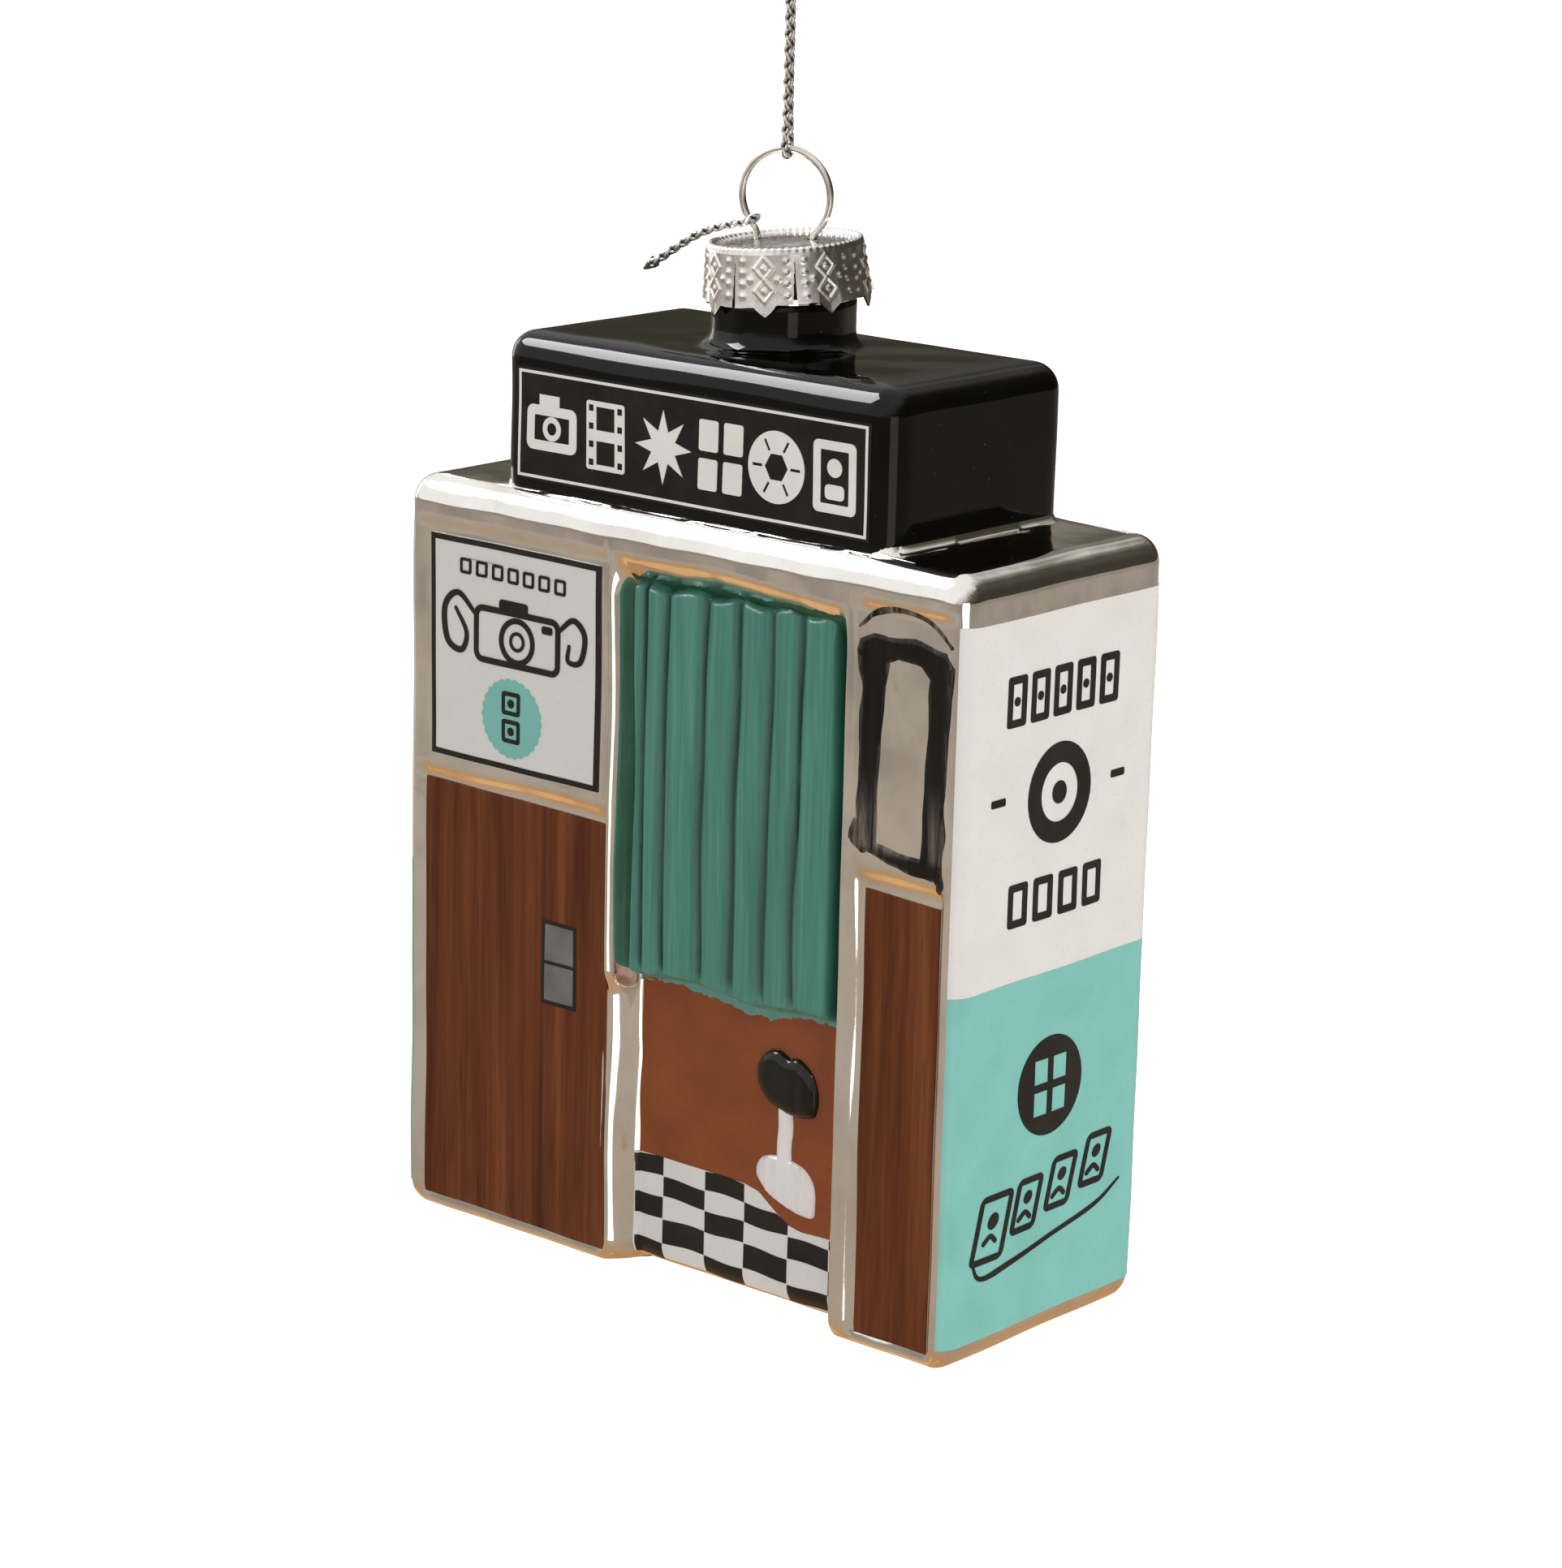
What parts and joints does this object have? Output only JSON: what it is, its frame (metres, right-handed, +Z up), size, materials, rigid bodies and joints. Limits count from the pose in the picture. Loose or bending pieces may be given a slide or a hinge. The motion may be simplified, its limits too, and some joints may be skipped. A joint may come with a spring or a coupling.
{
  "type": "glass hanging ornament",
  "caption": "Hollow blown-glass hanging ornament shaped like a photo booth, with painted and printed panels, a slit crown cap on a sprung wire ring and a braided cord.",
  "frame": {"origin": "inside the top of the hanging cord's eye, where the hook that holds it bears", "axes": "+Z up along the cord; -Y is the front with the curtain and poster; +X is to the right seen from the front"},
  "size_m": [0.0815, 0.0359, 0.156],
  "materials": {
    "braid": "silver metallic thread braid, satin",
    "fused_tip": "melted cord end, semi-matt",
    "wire": "polished wire with light draw marks",
    "cap": "bright stamped foil metal, embossed",
    "silvered_glass": "blown glass silvered inside, warm tint, slightly wavy",
    "black_enamel": "gloss enamel",
    "black_print": "gloss printed transfer",
    "white_print": "printed white",
    "off_white_print": "satin printed transfer",
    "ink_print": "printed dark ink",
    "teal_print": "satin printed transfer",
    "wood_print": "gloss transfer printed with upright wood grain",
    "curtain_green": "satin enamel",
    "terracotta": "satin enamel",
    "white_enamel": "gloss enamel, hand painted",
    "brushed_black": "hand brushed gloss enamel"
  },
  "bodies": {
    "cord": {"hanging_cord": "braid", "cord_knot": "braid"},
    "hanger": {"wire_hanger": "wire"},
    "tag": {"tag_loop": "braid", "tag_loop_tip": "fused_tip"},
    "cap": {"crown_cap": "cap"},
    "glass": {"glass_body": "silvered_glass", "sign_enamel": "black_enamel", "sign_field": "black_print", "sign_border": "white_print", "sign_pictograms": "white_print", "poster_sheet": "off_white_print", "poster_border": "ink_print", "poster_drawing": "ink_print", "poster_badge": "teal_print", "left_wood_panel": "wood_print", "right_wood_panel": "wood_print", "photo_slot": "ink_print", "curtain_enamel": "curtain_green", "alcove_enamel": "terracotta", "floor_sheet": "off_white_print", "floor_tiles": "ink_print", "stool_seat": "black_enamel", "stool_stem": "white_enamel", "stool_base": "white_enamel", "mirror_frame": "brushed_black", "right_upper_panel": "off_white_print", "right_lower_panel": "teal_print", "left_upper_panel": "off_white_print", "left_lower_panel": "teal_print", "right_upper_print": "ink_print", "right_lower_print": "ink_print"}
  },
  "joints": [
    {"name": "ring_swing", "type": "hinge", "parent": "cord", "child": "hanger", "pos_m": [0, 0, -0.02945], "axis": [0.9537, 0.3007, 0], "range_deg": [-60, 60]},
    {"name": "cap_rock", "type": "hinge", "parent": "hanger", "child": "cap", "pos_m": [0, 0, -0.0397], "axis": [0.9537, 0.3007, 0], "range_deg": [-12, 12]},
    {"name": "glass_pull", "type": "slide", "parent": "cap", "child": "glass", "axis": [0, 0, -1], "range_m": [0, 0.012]},
    {"name": "tag_swing", "type": "hinge", "parent": "hanger", "child": "tag", "pos_m": [-0.00401, -0.00126, -0.03758], "axis": [0.5519, 0.174, -0.8155], "range_deg": [-100, 100]}
  ]
}
